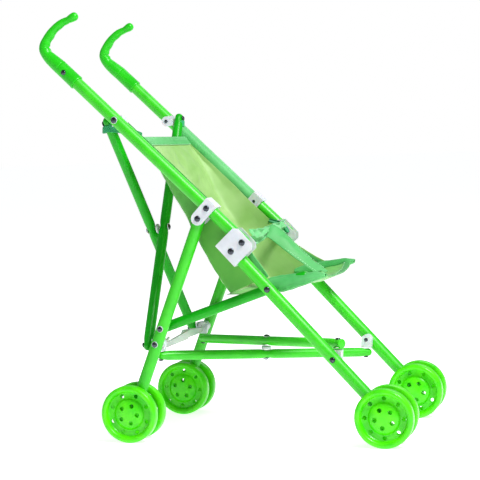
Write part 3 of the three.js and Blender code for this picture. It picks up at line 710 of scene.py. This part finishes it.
def back_point(t, u):
    """A point of the bucket: t from the top hem to the seat's rear, u from one side to the other."""
    sx, sz, ex, ez = mix(BACK_TABLE, t)
    if u > 0:
        ahead = max(0.0, t - 0.72) / 0.28
        ex += 44 * ahead ** 1.3
        ez -= 3 * ahead
    cx, cz = sx + (ex - sx) * 0.10, sz + (ez - sz) * 0.10
    side = -1 if u < 0 else 1
    a = abs(u)
    if a < CORNER:
        f = a / CORNER
        y = side * BACK_HALF_WIDTH * f
        sag = 7.0 * (1 - f * f) * math.sin(math.pi * min(1.0, t * 1.1)) + 2.0 * (1 - f * f)
        x = sx + (cx - sx) * f ** 3 - sag
        z = sz + (cz - sz) * f ** 3
    else:
        f = (a - CORNER) / (1 - CORNER)
        ease = math.sin(f * math.pi / 2)
        reach = 7.6 - 4.0 * min(1.0, max(0.0, (t - 0.42) * 12))
        y = side * (BACK_HALF_WIDTH + reach * min(1, f * 2.2) ** 0.6)
        x = cx + (ex - cx) * ease
        z = cz + (ez - cz) * ease
    still = min(1.0, 6 * t) * min(1.0, (1 - a) * 7) * min(1.0, (1 - t) * 9)
    ripple = wrinkle(x, y, z, 40, 3.1) * 3.2 * still + wrinkle(x, y, z, 15, 9.0) * 1.1 * still
    low = max(0.0, t - 0.72) * 3.5
    pleat = math.sin(a * 30 + wrinkle(x, y, z, 45, 5) * 4) * 2.4 * low * still
    crease = abs(wrinkle(x * 1.3, y * 0.6, z, 26, 17)) * 4.5 * still * (0.5 + low)
    crease += abs(wrinkle(x + z, y * 1.6, z - x, 34, 31)) * 3.5 * still
    return x + (ripple + pleat - crease) * 0.85, y + pleat * 0.3 * (1 if a > CORNER else 0) * side, z + ripple * 0.3


back = sheet_piece("seat_back", "right_handle",
                   [[back_point(k / 60, i / 44 - 1) for i in range(14, 75)] for k in range(61)], CLOTH,
                   replaces=["seat_back_cloth", "right_wing_cloth", "left_wing_cloth"])
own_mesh(back)

# The sides of the bucket, from the back's corners out to the handle tubes and down to the rails. The right side is in
# the darker nylon, as painted shade.
for label, side in SIDES:
    rows = [[back_point(k / 60, side * (0.675 + 0.325 * i / 14)) for i in range(15)] for k in range(61)]
    wing = sheet_piece(label + "_side", label + "_handle", rows, SHADED_CLOTH if side < 0 else CLOTH)
    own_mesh(wing)
    # A rolled edge along the free part of the side, from the hinge block to the rail.
    inward = Vector((-0.72, 0, -0.69))
    edge = [Vector(back_point(0.70 + 0.30 * k / 26, side)) for k in range(27)]
    rows = []
    for point in edge:
        rows.append([tuple(point + inward * d + ACROSS * side * (0.9 if d < 2 else 0.2)) for d in (0, 2.5, 5, 7)])
    roll = sheet_piece(label + "_side_edge", label + "_handle", rows, HEM, thickness=1.6)
    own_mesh(roll)

# The top hem: a doubled band with a line of stitching.
rows = [[back_point(0.058 * k / 5, u / 30 - 1) for u in range(1, 60)] for k in range(6)]
rows = [[(x + 0.9 + 0.5 * math.sin(math.pi * k / 5), y, z + 0.5) for x, y, z in row] for k, row in enumerate(rows)]
hem = sheet_piece("top_hem", "right_handle", rows, HEM, thickness=1.3)
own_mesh(hem)


def stitches(name, body, points, length=2.4, gap=1.6, squash=None):
    """A dashed line of thread along points, in millimetres, as one mesh of small flat hexagons."""
    verts, faces = [], []
    walked, start = 0.0, 0.0
    for a, b in zip(points, points[1:]):
        a, b = Vector(a), Vector(b)
        span = (b - a).length
        way = (b - a).normalized()
        while start < walked + span:
            p = a + way * (start - walked)
            q = p + way * length
            first, second = across(way)
            base = len(verts)
            for end in (p, q):
                for i in range(6):
                    angle = math.pi * i / 3
                    verts.append(metres(*(end + (first * math.cos(angle) + second * math.sin(angle)) * 0.28)))
            for i in range(6):
                j = (i + 1) % 6
                faces.append((base + i, base + j, base + 6 + j, base + 6 + i))
            faces.append(tuple(base + i for i in range(6)))
            faces.append(tuple(base + 6 + i for i in range(6)))
            start += length + gap
        walked += span
    made = piece(name, verts, faces, THREAD, body, smooth=False)
    if squash:
        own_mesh(made)
    return made


line = [back_point(0.052, u / 40 - 1) for u in range(3, 78)]
stitches("top_hem_stitches", "right_handle", [(x + 2.1, y, z) for x, y, z in line], squash=ACROSS_SQUASH)

# The long side hems: a band that wraps the inner side of each handle tube.
for label, side in SIDES:
    rows = []
    top_turn = 60 if side < 0 else 104
    for k in range(44):
        s = 12 + (156 if side > 0 else 146) * k / 43
        row = []
        for i in range(11):
            turn = math.radians(-62 + (top_turn + 62) * i / 10)
            radius = 8.9 + 0.35 * wrinkle(s, i * 3.0, 0, 9, 2) + (0.5 if i in (0, 10) else 0)
            x, y, z = beside_tube(s, side * (SIDE_Y - radius * math.cos(turn)), radius * math.sin(turn))
            row.append((x, y, z))
        rows.append(row)
    band = sheet_piece(label + "_tube_hem", label + "_handle", rows, HEM, thickness=0.8)
    line = [beside_tube(14 + 3 * k, side * 96.6, -6.6) for k in range(50)]
    stitches(label + "_tube_hem_stitches", label + "_handle", line)

# Teal straps that loop each top corner of the back over the crossed tubes' upper ends.
for label, side, shift in (("right", -1, -CROSS_OFFSET), ("left", 1, CROSS_OFFSET)):
    body = "rear_back_tube" if side < 0 else "front_back_tube"
    centre = Vector(moved(TOP_CROSS_PIVOT, back_normal, shift) + (0,))
    centre = Vector((centre.x, side * (BACK_CROSS_Y - 1.5), centre.y))
    rows = []
    for k in range(25):
        turn = 2 * math.pi * k / 24
        row = []
        for i in range(5):
            radius = 7.8 + 0.3 * math.sin(3 * turn + i)
            x = centre.x + radius * math.cos(turn)
            y = centre.y + radius * math.sin(turn)
            z = centre.z - 3.5 - i * 2.2 + 1.5 * math.cos(turn)
            row.append((x, y, z))
        rows.append(row)
    loop = sheet_piece(label + "_corner_loop", body, rows, TEAL, thickness=0.9)

near = Vector(moved(TOP_CROSS_PIVOT, back_normal, -CROSS_OFFSET) + (0,))
rows = []
for k in range(21):
    f = k / 20
    start = Vector((near.x - 4, -BACK_CROSS_Y - 5.5, near.y - 6))
    end = Vector((-146, -96.6, 392))
    p = start.lerp(end, f)
    p.z += 3.5 * math.sin(math.pi * f)
    wide = 6.5 - 1.5 * math.sin(math.pi * f)
    rows.append([(p.x + d * 0.25, p.y - 0.8 * math.sin(d * 0.7) + 0.5, p.z + d)
                 for d in (-wide, -wide / 3, wide / 3, wide)])
tie = sheet_piece("right_corner_strap", "right_handle", rows, TEAL, thickness=0.9)

# ---------- seat base, with a pocket round each rail ----------

BASE_LINE = [(0.0, -44, 187), (0.2, -18, 184), (0.45, 16, 187), (0.7, 46, 194), (0.88, 68, 200), (1.0, 84, 205)]


def base_point(t, u):
    x, z = mix(BASE_LINE, t)
    a = abs(u)
    z += 11.0 * a ** 4 * min(1.0, t * 1.6)
    x += 3.0 * (1 - a * a) * t
    ripple = wrinkle(x, u * 80, 0, 30, 21) * 2.6 + wrinkle(x, u * 80, 0, 12, 4) * 0.8
    pleat = math.sin(u * 26 + x * 0.05) * 1.5 * max(0.0, 0.45 - t)
    return x, u * 83, z + (ripple + pleat) * min(1.0, (1 - t) * 5 + 0.25) * min(1.0, t * 6)


base = sheet_piece("seat_base", "right_rail",
                   [[base_point(k / 40, i / 22 - 1) for i in range(45)] for k in range(41)],
                   BASE_CLOTH, replaces=["seat_base_cloth"])
BASE_SQUASH = dict(axis=(0, 1, 0), anchor=tuple(at(RAIL_FRONT_PIVOT, -89)), keep=0.35)
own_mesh(base)

rows = [[base_point(0.92 + 0.085 * k / 5, u / 22 - 1) for u in range(45)] for k in range(6)]
rows = [[(x, y, z + 0.9 + 0.6 * math.sin(math.pi * k / 5)) for x, y, z in row] for k, row in enumerate(rows)]
front = sheet_piece("front_hem", "right_rail", rows, HEM, thickness=1.4)
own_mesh(front)
stitches("front_hem_stitches", "right_rail", [(x, y, z + 2.2) for x, y, z in
                                             (base_point(0.93, u / 40 - 0.95) for u in range(77))],
         squash=BASE_SQUASH)

# Each pocket is a loose sleeve round the rail, gathered at the rear and pointed in front.
POCKET = [(0.0, 9.5, 205.5, 199.5), (0.12, 20, 209.0, 189.5), (0.3, 34, 211.5, 190.5), (0.5, 50, 213.5, 195.5),
          (0.7, 66, 215.0, 200.5), (0.85, 78, 216.5, 205.0), (1.0, 91, 214.0, 209.5)]
for label, side in SIDES:
    rows = []
    for k in range(37):
        t = k / 36
        x, high, low = mix(POCKET, t)
        if side > 0:
            x = x - 6 + 2 * t
            high += 3.0 * t
            low += 3.0 * t
        middle, half = (high + low) / 2, (high - low) / 2
        row = []
        for i in range(25):
            turn = 2 * math.pi * i / 24
            gather = 1.3 * math.sin(i * 2.1 + wrinkle(x, i, 0, 10, 3) * 3) * (1.2 - t)
            width = 8.4 * (1 - 0.45 * t ** 3)
            y = side * (SIDE_Y - RAIL_INSET) - width * math.cos(turn) * side
            z = middle + (half + gather) * math.sin(turn)
            ripple = wrinkle(x, y, z, 11, 8 + side) * 2.0 + wrinkle(x, y, z, 5, 3) * 0.7
            row.append((x + ripple * 0.6, y + side * ripple * 0.5, z + ripple * 0.5))
        rows.append(row)
    pocket = sheet_piece(label + "_rail_pocket", label + "_rail", rows, HEM, thickness=0.8)

# ---------- waist belt and crotch strap ----------


def band(name, body, points, widths, finish, slot_name, folds, depth, seed, up_way, replaces=(), count=60, wide=15):
    """A bunched band along points: folds run along it, and it thins where widths narrow."""
    line = smooth_line([Vector(p) for p in points], count)
    rows = []
    for k, p in enumerate(line):
        t = k / (count - 1)
        (width,) = mix(widths, t)
        way = (line[min(k + 1, count - 1)] - line[max(k - 1, 0)]).normalized()
        up = (up_way - way * up_way.dot(way)).normalized()
        face = way.cross(up)
        row = []
        for i in range(wide):
            f = i / (wide - 1) * 2 - 1
            q = p + up * f * width / 2
            fold = math.sin(f * folds * math.pi + wrinkle(q.x, q.y, q.z, 26, seed) * 4)
            lift = fold * depth + wrinkle(q.x, q.y, q.z, 14, seed + 4) * depth * 0.8 - depth * 1.2 * f * f
            row.append(tuple(q + face * lift))
        rows.append(row)
    return sheet_piece(name, body, rows, finish, thickness=1.0, replaces=replaces)


belt = band("belt", "right_handle",
            [(-6, -95.6, 258.5), (-5, -70, 259), (-7, -30, 260), (-9, 0, 260), (-11, 30, 261.5), (-11, 70, 261.5),
             (-11, 95.6, 261)],
            [(0, 25.0), (0.2, 22.0), (0.42, 17.0), (0.55, 16.0), (0.75, 19.0), (1, 24.0)],
            BELT, "strap", 2.2, 2.4, 2.0,
            Vector((0.25, 0, 1)), replaces=["waist_belt"])
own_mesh(belt)
# A gathered end of the belt at the left hinge block, in the dark teal cloth: a real fold, with painted shade in its
# colour.
wrap = band("belt_tuck", "left_handle", [(-34, 92, 272), (-24, 93.5, 268), (-14, 94, 262), (-8, 93.5, 254)],
            [(0, 8.0), (0.5, 12.0), (1, 9.0)], TEAL, "strap", 2.0, 1.2, 6.0, Vector((0.7, 0, 0.7)), count=24, wide=9)
STRAP_NEAR = [(-9, -9, 256), (-2, -9, 251), (11.6, -9, 241), (33, -9, 225), (48, -9, 213.5), (58, -9, 207)]
STRAP_FAR = [(-7, 9, 272), (2, 9, 268), (19, 9, 254), (38, 9, 233), (56, 9, 218), (70, 9, 207.5)]
near_edge = smooth_line([Vector(p) for p in STRAP_NEAR], 50)
far_edge = smooth_line([Vector(p) for p in STRAP_FAR], 50)
rows = []
for k, (a, b) in enumerate(zip(near_edge, far_edge)):
    lift = 2.2 * math.sin(k * 0.09) + 1.0
    row = [a.lerp(b, i / 10) for i in range(11)]
    rows.append([(q.x + wrinkle(q.x, q.y, q.z, 16, 6) + lift * 0.5 * math.sin(math.pi * i / 10), q.y,
                  q.z + wrinkle(q.x, q.y, q.z, 12, 7) * 1.2 + lift * math.sin(math.pi * i / 10))
                 for i, q in enumerate(row)])
strap = sheet_piece("crotch_band", "right_rail", rows, HEM, thickness=1.0,
                    replaces=["crotch_strap"])
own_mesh(strap)
for which, line in (("right", near_edge), ("left", far_edge)):
    inward = -1.4 if which == "left" else 1.4
    stitches(f"crotch_stitches_{which}", "right_rail",
             [(p.x + 0.6, p.y + inward, p.z + 1.4 + inward * 0.6) for p in line[3:48:3]], squash=BASE_SQUASH)

# ---------- camera, light and floor ----------

YAW, PITCH, ROLL = (math.radians(a) for a in (17.063, 3.354, -2.049))
ahead = Vector((-math.sin(YAW) * math.cos(PITCH), math.cos(YAW) * math.cos(PITCH), -math.sin(PITCH)))
right = Vector((math.cos(YAW), math.sin(YAW), 0))
up = right.cross(ahead)
right, up = right * math.cos(ROLL) + up * math.sin(ROLL), up * math.cos(ROLL) - right * math.sin(ROLL)
lens = bpy.data.cameras.new("camera")
lens.sensor_width = 36
lens.lens = 114.408
camera = bpy.data.objects.new("camera", lens)
camera.matrix_world = Matrix.Translation(metres(548.45, -1943.42, 371.03)) @ Matrix(
    (right, up, -ahead)).transposed().to_4x4()
bpy.context.scene.collection.objects.link(camera)
bpy.context.scene.camera = camera

world = bpy.data.worlds.new("studio")
world.use_nodes = True
backdrop = world.node_tree.nodes["Background"]
backdrop.inputs["Color"].default_value = (1.0, 1.0, 1.0, 1)
backdrop.inputs["Strength"].default_value = 1.0
ambient = world.node_tree.nodes.new("ShaderNodeBackground")
ambient.inputs["Color"].default_value = (0.95, 0.98, 1.0, 1)
ambient.inputs["Strength"].default_value = 0.28
seen = world.node_tree.nodes.new("ShaderNodeLightPath")
both = world.node_tree.nodes.new("ShaderNodeMixShader")
world.node_tree.links.new(seen.outputs["Is Camera Ray"], both.inputs["Fac"])
world.node_tree.links.new(ambient.outputs["Background"], both.inputs[1])
world.node_tree.links.new(backdrop.outputs["Background"], both.inputs[2])
world.node_tree.links.new(both.outputs["Shader"], world.node_tree.nodes["World Output"].inputs["Surface"])
bpy.context.scene.world = world
bpy.context.scene.view_settings.view_transform = "Standard"


def light(name, place, target, size, power):
    made = bpy.data.lights.new(name, "AREA")
    made.shape = "DISK"
    made.size = size
    made.energy = power
    lamp = bpy.data.objects.new(name, made)
    lamp.location = place
    lamp.rotation_euler = (Vector(target) - Vector(place)).to_track_quat("-Z", "Y").to_euler()
    bpy.context.scene.collection.objects.link(lamp)


light("key", (1.2, -0.7, 1.9), (0, 0, 0.25), 0.7, 54)
light("fill", (-1.6, -1.2, 1.0), (0, 0, 0.25), 1.4, 2)
light("back", (0.4, 1.6, 1.6), (0, 0, 0.25), 1.2, 7)

floor_mesh = bpy.data.meshes.new("floor")
floor_mesh.from_pydata([(-60, -60, 0), (60, -60, 0), (60, 60, 0), (-60, 60, 0)], [], [(0, 1, 2, 3)])
floor = bpy.data.objects.new("floor", floor_mesh)
bpy.context.scene.collection.objects.link(floor)
floor_mesh.materials.append(material("pale_floor", (0.93, 0.93, 0.93), (0.95, 0.95, 0.95), 0.8, scale=2.0, bump=0.0,
                                     Emission_Color=(1.0, 1.0, 1.0, 1), Emission_Strength=0.74))
